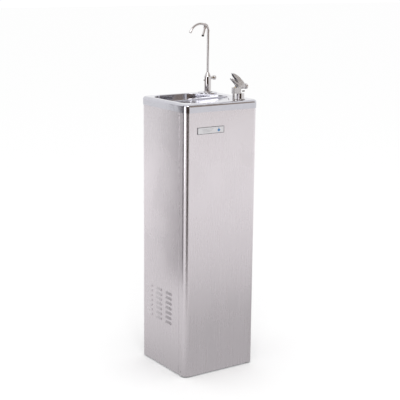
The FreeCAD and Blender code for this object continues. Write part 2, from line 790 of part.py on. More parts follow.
def neck_wire():
    start, rise_end, crook, arch, run = neck_route()
    return Part.Wire([Part.LineSegment(start, rise_end).toShape(),
                      Part.Arc(rise_end, crook[0], crook[1]).toShape(),
                      Part.Arc(crook[1], arch[0], arch[1]).toShape(),
                      Part.LineSegment(arch[1], arch[1] + run * outlet_run).toShape()])


def swan_neck():
    _, rise_end, _, _, _ = neck_route()
    tube = swept(neck_wire(), neck_radius)
    bead = rod(neck_radius + 1.0, rise_end - Z * 5, 4)
    return tube.fuse(bead).cut(swept(neck_wire(), neck_bore))


def filler_spout_tip():
    _, _, _, arch, run = neck_route()
    end = arch[1] + run * outlet_run
    sleeve = rod(outlet_radius, end - run * (outlet_length - 2.5), outlet_length, run)
    through = rod(neck_radius, end - run * outlet_length, outlet_length, run)
    nozzle = rod(neck_bore, end - run, 8, run)
    return sleeve.cut([through, nozzle])


def trigger_place():
    """Centre of the knuckle on the neck, its direction, and the pin's centre below it."""
    _, _, crook, _, _ = neck_route()
    along = X * -sin(radians(crook_turn)) + Z * cos(radians(crook_turn))
    outward = X * cos(radians(crook_turn)) + Z * sin(radians(crook_turn))
    centre = crook[1] + along * 1.0
    pin = crook[1] - outward * (knuckle_radius + 3.6)
    return centre, along, pin


def trigger_knuckle():
    centre, along, pin = trigger_place()
    sleeve = rod(knuckle_radius, centre - along * (knuckle_length / 2), knuckle_length, along)
    cheeks = [link(pin, 3.4, centre, 4.6, fy + y, fy + y + 2.1) for y in (-5.0, 2.9)]
    bores = [swept(neck_wire(), neck_radius), rod(pin_radius, V(pin.x, fy - 9, pin.z), 18, Y)]
    return fused([sleeve] + cheeks).cut(bores)


def trigger_pin():
    _, _, pin = trigger_place()
    return rod(pin_radius, V(pin.x, fy - 5.6, pin.z), 11.2, Y)


def trigger_lever():
    """Lever that hangs beside the riser and is pushed back by the glass, and its rubber tip."""
    _, _, pin = trigger_place()
    eye = link(pin, 3.2, pin - Z * 9, 2.4, fy - 2.6, fy + 2.6)
    blade = rounded_box(pin.x - lever_thick / 2, pin.x + lever_thick / 2, fy - lever_width / 2,
                        fy + lever_width / 2, pin.z - lever_length + tip_length, pin.z - 6.5, 1.2)
    tip = rounded_box(pin.x - lever_thick / 2 - 0.4, pin.x + lever_thick / 2 + 0.4,
                      fy - lever_width / 2 - 0.4, fy + lever_width / 2 + 0.4,
                      pin.z - lever_length, pin.z - lever_length + tip_length, 1.5)
    tip = tip.makeFillet(1.2, [e for e in tip.Edges if abs(e.CenterOfMass.z - pin.z + lever_length) < 0.01])
    lever = fused([eye, blade])
    lever = lever.cut(rod(pin_radius + running_gap, V(pin.x, fy - 9, pin.z), 18, Y))
    for piece in (lever, tip):
        piece.rotate(pin, Y, lever_lean)
    return lever, tip


def filler_push():
    centre = V(fx, fy, boss_top + filler_button_height)
    button = push_button(centre + X * 24.2, filler_button_radius, 11, 3.0, 0, 0)
    stem = rod(stem_radius, centre + X * 1.0, 23.2, X)
    coil = spring(centre + X * 9, X, 15.2, 3.9, 0.8, 5)
    return button, stem, coil


def set_screws():
    """Slotted screws that lock each tap's cartridge."""
    bubbler_screw = rod(2.6, V(bx + 9, by, deck + 29), 8.5, X)
    filler_screw = rod(2.6, V(fx - 8, fy, boss_top + 44), 8.5, X * -1)
    slot_b = box(bx + 16.5, bx + 20, by - 0.5, by + 0.5, deck + 20, deck + 40)
    slot_f = box(fx - 20, fx - 15.5, fy - 0.5, fy + 0.5, boss_top + 35, boss_top + 55)
    return bubbler_screw.cut(slot_b), filler_screw.cut(slot_f)


# ---- cooling unit ----
def compressor():
    base_z = tray_floor + mount_height
    plate = rounded_box(compressor_x - 88, compressor_x + 88, compressor_y - 50, compressor_y + 50,
                        base_z, base_z + 3, 12)
    pot = rod(compressor_radius, V(compressor_x, compressor_y, base_z + 3), compressor_height)
    pot = pot.makeFillet(24.0, [e for e in pot.Edges if e.CenterOfMass.z > base_z + 50
                                and e.Length < 400 and abs(e.BoundBox.ZLength) < 0.01])
    seam = rod(compressor_radius + 3, V(compressor_x, compressor_y, base_z + 82), 4)
    stubs = [rod(line_radius + 1, V(compressor_x - 30, compressor_y + 40, base_z + 90), 62),
             rod(line_radius + 1, V(compressor_x + 30, compressor_y + 40, base_z + 90), 62)]
    holes = [rod(5.0, V(compressor_x + sx * 76, compressor_y + sy * 38, base_z - 1), 6)
             for sx in (-1, 1) for sy in (-1, 1)]
    return fused([plate, pot, seam] + stubs).cut(holes)


def compressor_mounts():
    mounts = []
    for sx in (-1, 1):
        for sy in (-1, 1):
            start = V(compressor_x + sx * 76, compressor_y + sy * 38, tray_floor)
            mounts.append(rod(9, start, mount_height).fuse(rod(4.9, start, mount_height + 8)))
    return Part.makeCompound(mounts)


def condenser():
    y0 = fan_y - condenser_length / 2
    pieces = []
    pitch = (condenser_length - fin_sheet) / (condenser_fins - 1)
    for k in range(condenser_fins):
        y = y0 + k * pitch
        pieces.append(box(condenser_x, condenser_x + condenser_depth, y, y + fin_sheet,
                          condenser_z, condenser_z + condenser_height))
    for row in range(5):
        z = condenser_z + condenser_height * (row + 0.5) / 5
        for across in (0.28, 0.72):
            pieces.append(rod(line_radius + 1, V(condenser_x + condenser_depth * across, y0 - 4, z),
                              condenser_length + 8, Y))
    return fused(pieces)


def fan_shroud():
    """Sheet with a fan ring, bent from a foot that stands on the tray."""
    y0 = fan_y - condenser_length / 2 + 2
    y1 = fan_y + condenser_length / 2 - 2
    plate = box(shroud_x, shroud_x + tray_sheet, y0, y1, tray_floor, condenser_z + condenser_height)
    foot = box(condenser_x + 4, shroud_x, y0, y1, tray_floor, tray_floor + tray_sheet)
    ledge = box(condenser_x + 2, shroud_x, y0, y1, condenser_z - tray_sheet, condenser_z)
    collar = rod(fan_radius + 4, V(shroud_x, fan_y, fan_z), 16, X)
    hole = rod(fan_radius + 2.5, V(shroud_x - 1, fan_y, fan_z), 30, X)
    return fused([plate, foot, ledge, collar]).cut(hole)


def fan_motor():
    front = shroud_x + 26
    can = rod(motor_radius, V(front, fan_y, fan_z), 34, X)
    shaft = rod(stem_radius, V(shroud_x + 3, fan_y, fan_z), front - shroud_x, X)
    arms = []
    for turn in (90, 210, 330):
        arm = box(front + 4, front + 7, fan_y - 5, fan_y + 5, fan_z + motor_radius - 3, fan_z + fan_radius + 12)
        leg = box(shroud_x + tray_sheet, front + 7, fan_y - 5, fan_y + 5, fan_z + fan_radius + 9,
                  fan_z + fan_radius + 12)
        for piece in (arm, leg):
            piece.rotate(V(front, fan_y, fan_z), X, turn - 90)
            arms.append(piece)
    return fused([can, shaft] + arms)


def fan_blade():
    x0 = shroud_x + 5
    hub = rod(fan_hub, V(x0, fan_y, fan_z), 14, X)
    blades = []
    for k in range(fan_blades):
        blade = box(x0 + 5.6, x0 + 7.2, fan_y - 13, fan_y + 13, fan_z + fan_hub - 3, fan_z + fan_radius)
        blade.rotate(V(x0 + 6.4, fan_y, fan_z), Z, 28)
        blade.rotate(V(x0, fan_y, fan_z), X, 360 / fan_blades * k)
        blades.append(blade)
    return fused([hub] + blades).cut(rod(stem_radius + running_gap, V(x0 - 1, fan_y, fan_z), 20, X))


def filter_drier():
    """Drier on the condenser's lowest tube, with the capillary brazed to it."""
    start = V(capillary_x, condenser_end, drier_z)
    taper = 9.0
    inlet = Part.makeCone(line_radius, drier_radius, taper, start, Y * -1)
    body = rod(drier_radius, start - Y * taper, drier_length - 2 * taper, Y * -1)
    outlet = Part.makeCone(drier_radius, capillary_radius, taper, start - Y * (drier_length - taper), Y * -1)
    coil_z = coil_high
    points = [start - Y * (drier_length - 1), V(capillary_x, capillary_y, drier_z),
              V(capillary_x, capillary_y, coil_z), V(-jacket_radius - 14, tank_y, coil_z),
              V(-coil_mean - coil_wire - 0.3, tank_y, coil_z)]
    return fused([inlet, body, outlet, pipe(points, capillary_radius, 6)])


def discharge_line():
    """Copper line from the compressor up to the condenser's top tube."""
    base_z = tray_floor + mount_height
    start = V(compressor_x - 30, compressor_y + 40, base_z + 152)
    top = condenser_z + condenser_height * 0.9
    end = V(condenser_x + condenser_depth * 0.72, condenser_end, top)
    aside = V(start.x, end.y - 42, base_z + 182)
    points = [start, V(start.x, start.y, base_z + 182), aside, V(aside.x, aside.y, top),
              V(end.x, aside.y, top), end]
    return pipe(points, line_radius, 10)


def suction_line():
    """Copper line from the coil's low end down through the shelf to the compressor."""
    base_z = tray_floor + mount_height
    start = V(compressor_x + 30, compressor_y + 40, base_z + 152)
    points = [start, V(start.x, start.y, 330), V(coil_mean, tank_y, 380),
              V(coil_mean, tank_y, coil_low - coil_wire - 0.3)]
    return pipe(points, line_radius, 12)


def tank_ports(radius, start, length):
    return [rod(radius, V(px, tank_y + py, start), length) for px, py in port_places]


def cold_tank():
    """Thin-walled tank with its three pipe stubs."""
    def vessel(inset):
        shape = rod(tank_radius - inset, V(0, tank_y, tank_bottom + inset), tank_height - 2 * inset)
        return shape.makeFillet(14.0 - inset, [e for e in shape.Edges if abs(e.BoundBox.ZLength) < 0.01])

    tank = fused([vessel(0)] + tank_ports(water_line + 1.5, tank_top - 6, jacket_wall + 10))
    return tank.cut([vessel(tank_wall)] + tank_ports(water_line, tank_top - 8, jacket_wall + 20))


def evaporator_coil():
    height = coil_high - coil_low
    helix = Part.makeHelix(height / coil_turns, height, coil_mean)
    profile = Part.Wire(Part.makeCircle(coil_wire, V(coil_mean, 0, 0), Y))
    coil = Part.Wire(helix.Edges).makePipeShell([profile], True, True)
    coil.translate(V(0, tank_y, coil_low))
    return coil


def tank_insulation():
    block = rod(jacket_radius, V(0, tank_y, shelf_top), jacket_top - shelf_top)
    inside = rod(jacket_inner, V(0, tank_y, tank_bottom), tank_height)
    ports = tank_ports(water_line + 1.5, tank_top - 1, jacket_wall + 4)
    lines = [rod(line_radius + 0.5, V(coil_mean, tank_y, shelf_top - 1), jacket_wall + 2),
             rod(capillary_radius + 0.5, V(-jacket_radius - 1, tank_y, coil_high), jacket_wall + 2, X)]
    return block.cut([inside] + ports + lines)


def water_lines():
    top = jacket_top + 4
    port_a, port_b, port_c = [V(px, tank_y + py, top) for px, py in port_places]
    bubbler_foot = V(bx, by, deck - tap_shank_length)
    filler_foot = V(fx, fy, boss_top - tap_shank_length)
    to_bubbler = pipe([port_a, V(port_a.x, port_a.y, top + 22), V(bx, by, top + 34), bubbler_foot],
                      water_line, 9)
    to_filler = pipe([port_b, V(port_b.x, port_b.y, top + 22), V(fx, fy - 30, top + 30),
                      V(fx, fy, top + 44), filler_foot], water_line, 9)
    supply = pipe([V(inlet_x, bay_y - 34, inlet_z), V(inlet_x, supply_y, inlet_z),
                   V(inlet_x, supply_y, top + 42), V(port_c.x, port_c.y, top + 42), port_c], water_line, 10)
    return to_bubbler, to_filler, supply


def inlet_fitting():
    """Threaded stub outside the connection plate, with a pressure regulator inside."""
    collar = hexagon(27, V(inlet_x, bay_y, inlet_z), 5, Y)
    stub = rod(inlet_thread, V(inlet_x, bay_y + 5, inlet_z), inlet_length, Y)
    through = rod(inlet_thread - 0.5, V(inlet_x, bay_y - 12, inlet_z), 13, Y)
    body = rod(15, V(inlet_x, bay_y - 34, inlet_z), 34 - tray_sheet, Y)
    bore = rod(water_line, V(inlet_x, bay_y - 35, inlet_z), 90, Y)
    return fused([collar, stub, through, body]).cut(bore)


def thermostat():
    body = box(knob_x - 22, knob_x + 22, bay_y - tray_sheet - 26, bay_y - tray_sheet, knob_z - 20, knob_z + 20)
    shaft = rod(stem_radius, V(knob_x, bay_y - 10, knob_z), 20, Y)
    knob = rod(knob_radius, V(knob_x, bay_y + 1.0, knob_z), 13, Y)
    knob = knob.makeFillet(2.0, [e for e in knob.Edges if e.CenterOfMass.y > bay_y + 13.9])
    pointer = box(knob_x - 1, knob_x + 1, bay_y + 13, bay_y + 15, knob_z + 3, knob_z + knob_radius - 1)
    bore = rod(stem_radius + running_gap, V(knob_x, bay_y, knob_z), 10.5, Y)
    return body.fuse(shaft), knob.cut([bore, pointer])


def power_inlet():
    """Appliance inlet with three flat contacts in a recess."""
    flange = rounded_box(socket_x - 14, socket_x + 14, socket_z - 11, socket_z + 11, -3, 22, 2)
    lip = rounded_box(socket_x - 17, socket_x + 17, socket_z - 14, socket_z + 14, 22, 24, 3)
    recess = rounded_box(socket_x - 12, socket_x + 12, socket_z - 8, socket_z + 8, 6, 30, 2)
    pins = [box(socket_x + dx - 1, socket_x + dx + 1, socket_z + dz - 2, socket_z + dz + 2, 5, 20)
            for dx, dz in ((-7, -1.5), (0, 2.0), (7, -1.5))]
    inlet = fused([flange, lip]).cut(recess).multiFuse(pins)
    inlet.rotate(V(0, 0, 0), X, 90)
    inlet = inlet.mirror(V(0, 0, 0), Y)
    inlet.translate(V(0, bay_y - 22, 0))
    return inlet


def main():
    os.makedirs("parts", exist_ok=True)
    save("base_tray", base_tray())
    for name, sx, sy in (("front_left_post", -1, -1), ("front_right_post", 1, -1),
                         ("rear_left_post", -1, 1), ("rear_right_post", 1, 1)):
        save(name, post(sx, sy))
    save("basin_frame", basin_frame())
    save("tank_shelf", tank_shelf())
    save("front_cover", front_cover())
    save("left_side_panel", side_panel(-1))
    save("right_side_panel", side_panel(1))
    save("rear_panel", rear_panel())
    save("connection_plate", connection_plate())
    save("panel_screws", panel_screws())
    save("badge_plate", badge_plate())
    pads, studs = feet()
    save("foot_pads", pads)
    save("foot_studs", studs)
    save("top_basin", top_basin())
    save("basin_strainer", basin_strainer())
    save("waste_fitting", waste_fitting())
    save("waste_nut", waste_nut())
    save("drain_pipe", drain_pipe())
    save("bubbler_column", bubbler_column())
    screw_b, screw_f = set_screws()
    save("bubbler_guard", bubbler_guard().cut(screw_b))
    save("bubbler_nozzle", bubbler_nozzle())
    save("bubbler_feed_tube", bubbler_feed_tube())
    button, stem, coil = bubbler_push()
    save("bubbler_button", button)
    save("bubbler_valve_stem", stem)
    save("bubbler_spring", coil)
    save("filler_column", filler_column().cut(screw_f))
    save("filler_gland_nut", filler_gland_nut())
    save("swan_neck", swan_neck())
    save("filler_spout_tip", filler_spout_tip())
    button, stem, coil = filler_push()
    save("filler_button", button)
    save("filler_valve_stem", stem)
    save("filler_spring", coil)
    save("tap_shank_nuts", Part.makeCompound([shank_nut_under(bx, by, under_deck),
                                              shank_nut_under(fx, fy, boss_top - pan_sheet)]))
    save("tap_set_screws", Part.makeCompound([screw_b, screw_f]))
    save("trigger_knuckle", trigger_knuckle())
    save("trigger_pin", trigger_pin())
    lever, tip = trigger_lever()
    save("trigger_lever", lever)
    save("trigger_tip", tip)
    save("compressor", compressor())
    save("compressor_mounts", compressor_mounts())
    save("condenser", condenser())
    save("fan_shroud", fan_shroud())
    save("fan_motor", fan_motor())
    save("fan_blade", fan_blade())
    save("filter_drier", filter_drier())
    save("discharge_line", discharge_line())
    save("suction_line", suction_line())
    save("cold_tank", cold_tank())
    save("evaporator_coil", evaporator_coil())
    save("tank_insulation", tank_insulation())
    to_bubbler, to_filler, supply = water_lines()
    save("bubbler_water_line", to_bubbler)
    save("filler_water_line", to_filler)
    save("supply_pipe", supply)
    save("inlet_fitting", inlet_fitting())
    body, knob = thermostat()
    save("thermostat_body", body)
    save("thermostat_knob", knob)
    save("power_inlet", power_inlet())


main()
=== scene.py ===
"""Looks of a drinking fountain: finishes, small trim, floor, studio light and camera around the fixed frame."""
import json
import math

import bpy
from mathutils import Matrix, Vector


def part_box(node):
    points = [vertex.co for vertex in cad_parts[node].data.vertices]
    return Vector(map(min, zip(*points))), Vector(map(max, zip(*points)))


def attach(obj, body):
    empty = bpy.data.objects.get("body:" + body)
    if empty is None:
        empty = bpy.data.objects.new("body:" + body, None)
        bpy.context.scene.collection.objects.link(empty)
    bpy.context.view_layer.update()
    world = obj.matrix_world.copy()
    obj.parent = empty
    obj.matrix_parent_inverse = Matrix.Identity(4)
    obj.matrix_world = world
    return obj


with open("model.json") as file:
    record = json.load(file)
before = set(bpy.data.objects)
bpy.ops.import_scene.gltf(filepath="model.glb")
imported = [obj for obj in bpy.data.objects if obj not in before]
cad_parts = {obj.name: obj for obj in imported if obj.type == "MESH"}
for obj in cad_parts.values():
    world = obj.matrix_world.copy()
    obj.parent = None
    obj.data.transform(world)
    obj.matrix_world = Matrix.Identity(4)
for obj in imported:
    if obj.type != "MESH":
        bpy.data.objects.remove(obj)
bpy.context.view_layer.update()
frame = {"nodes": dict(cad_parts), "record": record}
nodes = frame["nodes"]
MM = 0.001
DECK_Z = 1.0


# ---- node helpers ----
class Finish:
    """A new Principled material whose patterns read Object coordinates."""

    def __init__(self, name, colour, metallic, roughness):
        self.made = bpy.data.materials.new(name)
        self.made.use_nodes = True
        self.tree = self.made.node_tree
        self.shader = self.tree.nodes["Principled BSDF"]
        self.coords = self.tree.nodes.new("ShaderNodeTexCoord")
        self.colour = colour
        self.shader.inputs["Base Color"].default_value = (*colour, 1)
        self.shader.inputs["Metallic"].default_value = metallic
        self.shader.inputs["Roughness"].default_value = roughness
        self.height = None

    def link(self, out, into):
        self.tree.links.new(out, into)

    def noise(self, stretch, scale, detail=3.0, rough=0.55, distortion=0.0):
        """Noise in metres, drawn out along each axis by stretch."""
        mapping = self.tree.nodes.new("ShaderNodeMapping")
        mapping.inputs["Scale"].default_value = stretch
        field = self.tree.nodes.new("ShaderNodeTexNoise")
        field.inputs["Scale"].default_value = scale
        field.inputs["Detail"].default_value = detail
        field.inputs["Roughness"].default_value = rough
        field.inputs["Distortion"].default_value = distortion
        self.link(self.coords.outputs["Object"], mapping.inputs["Vector"])
        self.link(mapping.outputs["Vector"], field.inputs["Vector"])
        return field.outputs["Fac"]

    def spread(self, field, low, high, start=0.3, end=0.7):
        """Field mapped from start..end to low..high."""
        ranged = self.tree.nodes.new("ShaderNodeMapRange")
        ranged.inputs["From Min"].default_value = start
        ranged.inputs["From Max"].default_value = end
        ranged.inputs["To Min"].default_value = low
        ranged.inputs["To Max"].default_value = high
        self.link(field, ranged.inputs["Value"])
        return ranged.outputs["Result"]

    def sum(self, first, second):
        node = self.tree.nodes.new("ShaderNodeMath")
        node.operation = "ADD"
        self.link(first, node.inputs[0])
        self.link(second, node.inputs[1])
        return node.outputs[0]

    def tint(self, field, dark, light, start=0.3, end=0.7):
        """Colour that goes from dark to light with the field."""
        ramp = self.tree.nodes.new("ShaderNodeValToRGB")
        ramp.color_ramp.elements[0].position = start
        ramp.color_ramp.elements[1].position = end
        ramp.color_ramp.elements[0].color = (*dark, 1)
        ramp.color_ramp.elements[1].color = (*light, 1)
        self.link(field, ramp.inputs["Fac"])
        self.link(ramp.outputs["Color"], self.shader.inputs["Base Color"])

    def roughen(self, field):
        self.link(field, self.shader.inputs["Roughness"])

    def bump(self, field, depth, strength=1.0):
        """Relief of that depth in metres; calls add up."""
        node = self.tree.nodes.new("ShaderNodeBump")
        node.inputs["Strength"].default_value = strength
        node.inputs["Distance"].default_value = depth
        self.link(field, node.inputs["Height"])
        if self.height is not None:
            self.link(self.height, node.inputs["Normal"])
        self.height = node.outputs["Normal"]
        self.link(self.height, self.shader.inputs["Normal"])


def scaled(colour, share):
    return tuple(min(1.0, c * share) for c in colour)


def brushed(name, colour, roughness, grain, ripple):
    """Sheet steel brushed along one axis, with faint dents and hand marks. Grain is the stretch of the brushing."""
    finish = Finish(name, colour, 1.0, roughness)
    lines = finish.noise(grain, 900.0, 2.0)
    coarse = finish.noise(tuple(g * 0.4 for g in grain), 260.0, 3.0)
    marks = finish.noise((1, 1, 1), 7.0, 2.0, 0.5, 0.4)
    both = finish.sum(finish.spread(lines, -0.5, 0.5), finish.spread(coarse, -0.5, 0.5))
    finish.tint(finish.spread(both, 0, 1, -1, 1), scaled(colour, 0.975), scaled(colour, 1.02), 0.1, 0.9)
    finish.roughen(finish.sum(finish.spread(both, roughness - 0.025, roughness + 0.025, -1, 1),
                              finish.spread(marks, -0.03, 0.03)))
    finish.bump(finish.noise((1, 1, 0.55), 5.5, 0.0), ripple)
    finish.bump(lines, 0.000004, 0.4)
    return finish.made


def polished(name, colour, roughness, ripple=0.0, spots=0.05):
    """Plated or buffed metal with fine wipe marks and dried spots."""
    finish = Finish(name, colour, 1.0, roughness)
    wipes = finish.noise((1, 1, 0.15), 240.0, 4.0, 0.6, 0.6)
    dried = finish.noise((1, 1, 1), 70.0, 6.0, 0.7)
    finish.tint(dried, scaled(colour, 0.95), scaled(colour, 1.03), 0.35, 0.65)
    finish.roughen(finish.sum(finish.spread(wipes, roughness, roughness + 0.04),
                              finish.spread(dried, 0, spots, 0.55, 0.75)))
    if ripple:
        finish.bump(finish.noise((1, 1, 1), 11.0, 2.0, 0.5, 0.3), ripple)
    finish.bump(wipes, 0.000004, 0.3)
    return finish.made


def cast(name, colour, roughness):
    """Bead-blasted casting: fine even grain, slightly darker in patches."""
    finish = Finish(name, colour, 1.0, roughness)
    grain = finish.noise((1, 1, 1), 700.0, 2.0, 0.6)
    cloud = finish.noise((1, 1, 1), 60.0, 4.0, 0.6)
    finish.tint(cloud, scaled(colour, 0.90), scaled(colour, 1.06))
    finish.roughen(finish.spread(cloud, roughness - 0.04, roughness + 0.06))
    finish.bump(grain, 0.00003, 0.6)
    return finish.made


def zinc(name, colour):
    """Galvanised sheet with its crystal spangle."""
    finish = Finish(name, colour, 1.0, 0.45)
    cells = finish.tree.nodes.new("ShaderNodeTexVoronoi")
    cells.inputs["Scale"].default_value = 130.0
    finish.link(finish.coords.outputs["Object"], cells.inputs["Vector"])
    value = finish.tree.nodes.new("ShaderNodeSeparateColor")
    finish.link(cells.outputs["Color"], value.inputs["Color"])
    finish.tint(value.outputs["Red"], scaled(colour, 0.78), scaled(colour, 1.12), 0.0, 1.0)
    finish.roughen(finish.spread(value.outputs["Green"], 0.34, 0.56, 0, 1))
    return finish.made


def plastic(name, colour, roughness, grain=900.0, depth=0.00004, coat=0.0):
    """Moulded plastic, rubber or paint: fine skin, uneven gloss, dust in patches."""
    finish = Finish(name, colour, 0.0, roughness)
    skin = finish.noise((1, 1, 1), grain, 2.0, 0.6)
    patch = finish.noise((1, 1, 1), 45.0, 5.0, 0.6)
    finish.tint(patch, scaled(colour, 0.85), tuple(min(1.0, c * 1.15 + 0.008) for c in colour))
    finish.roughen(finish.spread(patch, roughness - 0.06, roughness + 0.06))
    finish.bump(skin, depth, 0.5)
    finish.shader.inputs["Coat Weight"].default_value = coat
    return finish.made


def tarnished(name, bright, dull, roughness):
    """Brass or copper, bright where handled and dull in patches."""
    finish = Finish(name, bright, 1.0, roughness)
    stain = finish.noise((1, 1, 1), 55.0, 6.0, 0.65, 0.5)
    drawn = finish.noise((1, 1, 1), 600.0, 2.0)
    finish.tint(stain, dull, bright, 0.32, 0.62)
    finish.roughen(finish.spread(stain, roughness + 0.14, roughness, 0.3, 0.7))
    finish.bump(drawn, 0.00001, 0.4)
    return finish.made


def foam(name, colour):
    """Rigid foam: open cells and yellowed patches."""
    finish = Finish(name, colour, 0.0, 0.9)
    cells = finish.noise((1, 1, 1), 420.0, 4.0, 0.7)
    patch = finish.noise((1, 1, 1), 14.0, 4.0)
    finish.tint(patch, scaled(colour, 0.86), scaled(colour, 1.05))
    finish.roughen(finish.spread(cells, 0.82, 0.96))
    finish.bump(cells, 0.0004, 0.7)
    return finish.made


STEEL = (0.69, 0.655, 0.68)
UPRIGHT_GRAIN = (1, 1, 0.012)
PANEL_RIPPLE = 0.0005
finishes = {
    "brushed_front": brushed("brushed_front", STEEL, 0.27, UPRIGHT_GRAIN, PANEL_RIPPLE),
    "brushed_side": brushed("brushed_side", STEEL, 0.27, UPRIGHT_GRAIN, PANEL_RIPPLE),
    "pan": polished("buffed_pan", (0.58, 0.575, 0.62), 0.10, 0.0012, 0.06),
    "zinc": zinc("galvanised_sheet", (0.52, 0.54, 0.56)),
    "chrome": polished("chrome_plate", (0.62, 0.595, 0.60), 0.05, 0.0, 0.04),
    "casting": cast("satin_casting", (0.62, 0.61, 0.62), 0.38),
    "steel": polished("turned_steel", (0.58, 0.57, 0.58), 0.18, 0.0, 0.08),
    "spring_steel": polished("spring_steel", (0.40, 0.38, 0.36), 0.25),
    "badge": brushed("badge_face", (0.70, 0.70, 0.72), 0.30, (0.02, 1, 1), 0.0002),
    "brass": tarnished("brass_fittings", (0.62, 0.46, 0.22), (0.36, 0.25, 0.12), 0.22),
    "copper": tarnished("copper_tube", (0.72, 0.36, 0.22), (0.34, 0.16, 0.10), 0.24),
    "rubber": plastic("black_rubber", (0.025, 0.024, 0.024), 0.62, 500.0, 0.00006),
    "black_plastic": plastic("black_moulding", (0.030, 0.030, 0.032), 0.42),
    "fan_plastic": plastic("fan_moulding", (0.05, 0.05, 0.055), 0.5),
    "drain_plastic": plastic("grey_moulding", (0.36, 0.37, 0.39), 0.40),
    "paint": plastic("black_paint", (0.022, 0.022, 0.025), 0.30, 350.0, 0.00005, 0.4),
    "fins": brushed("rolled_fins", (0.62, 0.63, 0.65), 0.36, (1, 0.03, 1), 0.0003),
    "foam": foam("jacket_foam", (0.72, 0.62, 0.38)),
    "dark_enamel": plastic("dark_enamel", (0.035, 0.037, 0.045), 0.28),
    "drop_enamel": plastic("drop_enamel", (0.03, 0.16, 0.36), 0.22, 900.0, 0.00001, 0.6),
    "white_print": plastic("white_print", (0.78, 0.78, 0.76), 0.55),
}

by_slot = {
    "brushed_panel": "brushed_front", "polished_pan": "pan", "galvanised": "zinc", "chrome": "chrome",
    "satin_cast": "casting", "bright_steel": "steel", "brass": "brass", "copper": "copper",
    "badge_metal": "badge", "black_rubber": "rubber", "black_plastic": "black_plastic",
    "black_paint": "paint", "fan_plastic": "fan_plastic", "drain_plastic": "drain_plastic",
    "foam": "foam", "condenser_fins": "fins",
}
by_node = {"left_side_panel": "brushed_side", "right_side_panel": "brushed_side",
           "bubbler_spring": "spring_steel", "filler_spring": "spring_steel",
           "tap_set_screws": "spring_steel"}
for part in frame["record"]["subparts"]:
    finish = by_node.get(part["node"], by_slot[part["material_slot"]])
    nodes[part["node"]].data.materials.clear()
    nodes[part["node"]].data.materials.append(finishes[finish])


# ---- modelling helpers ----
def clear_selection():
    if bpy.context.object and bpy.context.object.mode != "OBJECT":
        bpy.ops.object.mode_set(mode="OBJECT")
    bpy.ops.object.select_all(action="DESELECT")


def choose_faces(piece, test):
    """Enters edit mode with the faces that pass the test selected; test gets the centre and the normal."""
    bpy.ops.object.mode_set(mode="EDIT")
    bpy.ops.mesh.select_mode(type="FACE")
    bpy.ops.mesh.select_all(action="DESELECT")
    bpy.ops.object.mode_set(mode="OBJECT")
    for face in piece.data.polygons:
        face.select = test(face.center, face.normal)
    bpy.ops.object.mode_set(mode="EDIT")


def add_block(centre, size):
    """Box with its size in the mesh and its place on the object."""
    clear_selection()
    bpy.ops.mesh.primitive_cube_add(size=1, location=centre)
    piece = bpy.context.object
    piece.scale = size
    bpy.ops.object.transform_apply(location=False, rotation=False, scale=True)
    return piece


def settle(piece, name, finish, edge=0.0):
    """Bevels the edges, puts the place into the mesh and lets the piece ride on the cabinet."""
    if bpy.context.object.mode != "OBJECT":
        bpy.ops.object.mode_set(mode="OBJECT")
    piece.name = name
    piece.data.name = name
    bpy.ops.object.transform_apply(location=True, rotation=True, scale=True)
    if edge:
        soften = piece.modifiers.new("soften", "BEVEL")
        soften.width = edge
        soften.segments = 2
        soften.limit_method = "ANGLE"
        bpy.ops.object.modifier_apply(modifier="soften")
    bpy.ops.object.shade_smooth_by_angle(angle=math.radians(35))
    piece.data.materials.clear()
    piece.data.materials.append(finishes[finish])
    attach(piece, "cabinet")
    piece.select_set(False)


def seal_ring(name, foot, outer, inner, height):
    """Flat rubber ring lying on a face, with rounded edges."""
    clear_selection()
    bpy.ops.mesh.primitive_cylinder_add(vertices=72, radius=outer, depth=height,
                                        location=foot + Vector((0, 0, height / 2)))
    piece = bpy.context.object
    choose_faces(piece, lambda at, way: abs(way.z) > 0.9)
    bpy.ops.mesh.inset(thickness=outer - inner)
    bpy.ops.mesh.bridge_edge_loops()
    settle(piece, name, "rubber", height * 0.3)


# ---- trim ----
def badge_emblem():
    """Dark frame round the badge with a plain water drop and three ripple bars."""
    frame_thick, frame_width = 0.7 * MM, 1.5 * MM
    drop_radius, drop_flatness = 5.6 * MM, 0.16
    bar_thick, bar_height, bar_pitch = 0.5 * MM, 1.7 * MM, 4.6
    low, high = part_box("badge_plate")
    middle = (low + high) / 2
    width, height = high.x - low.x, high.z - low.z
    face = low.y

    surround = add_block((middle.x, face - 0.2 * MM, middle.z), (width, frame_thick, height))
    choose_faces(surround, lambda at, way: abs(way.y) > 0.9)
    bpy.ops.mesh.inset(thickness=frame_width)
    bpy.ops.mesh.bridge_edge_loops()
    settle(surround, "badge_frame", "dark_enamel", 0.25 * MM)

    clear_selection()
    bpy.ops.mesh.primitive_uv_sphere_add(segments=28, ring_count=16, radius=drop_radius,
                                         location=(middle.x + 0.30 * width, face - 0.1 * MM, middle.z - 1.2 * MM))
    drop = bpy.context.object
    drop.scale = (1, drop_flatness, 1)
    bpy.ops.object.transform_apply(location=False, rotation=False, scale=True)
    choose_faces(drop, lambda at, way: at.z > 3.0 * MM)
    bpy.ops.transform.resize(value=(0.45, 1, 1))
    choose_faces(drop, lambda at, way: at.z > 4.4 * MM)
    bpy.ops.transform.translate(value=(0, 0, 3.2 * MM))
    settle(drop, "badge_drop", "drop_enamel")

    for row, (length, shift) in enumerate(((0.42, 0.0), (0.34, 0.02), (0.26, 0.04))):
        place = (middle.x - (0.12 + shift) * width, face - 0.1 * MM, middle.z + (bar_pitch - bar_pitch * row) * MM)
        bar = add_block(place, (length * width, bar_thick, bar_height))
        choose_faces(bar, lambda at, way: abs(way.x) > 0.9)
        bpy.ops.transform.resize(value=(1, 1, 0.35))
        settle(bar, "badge_bar_%d" % (row + 1), "dark_enamel", 0.2 * MM)


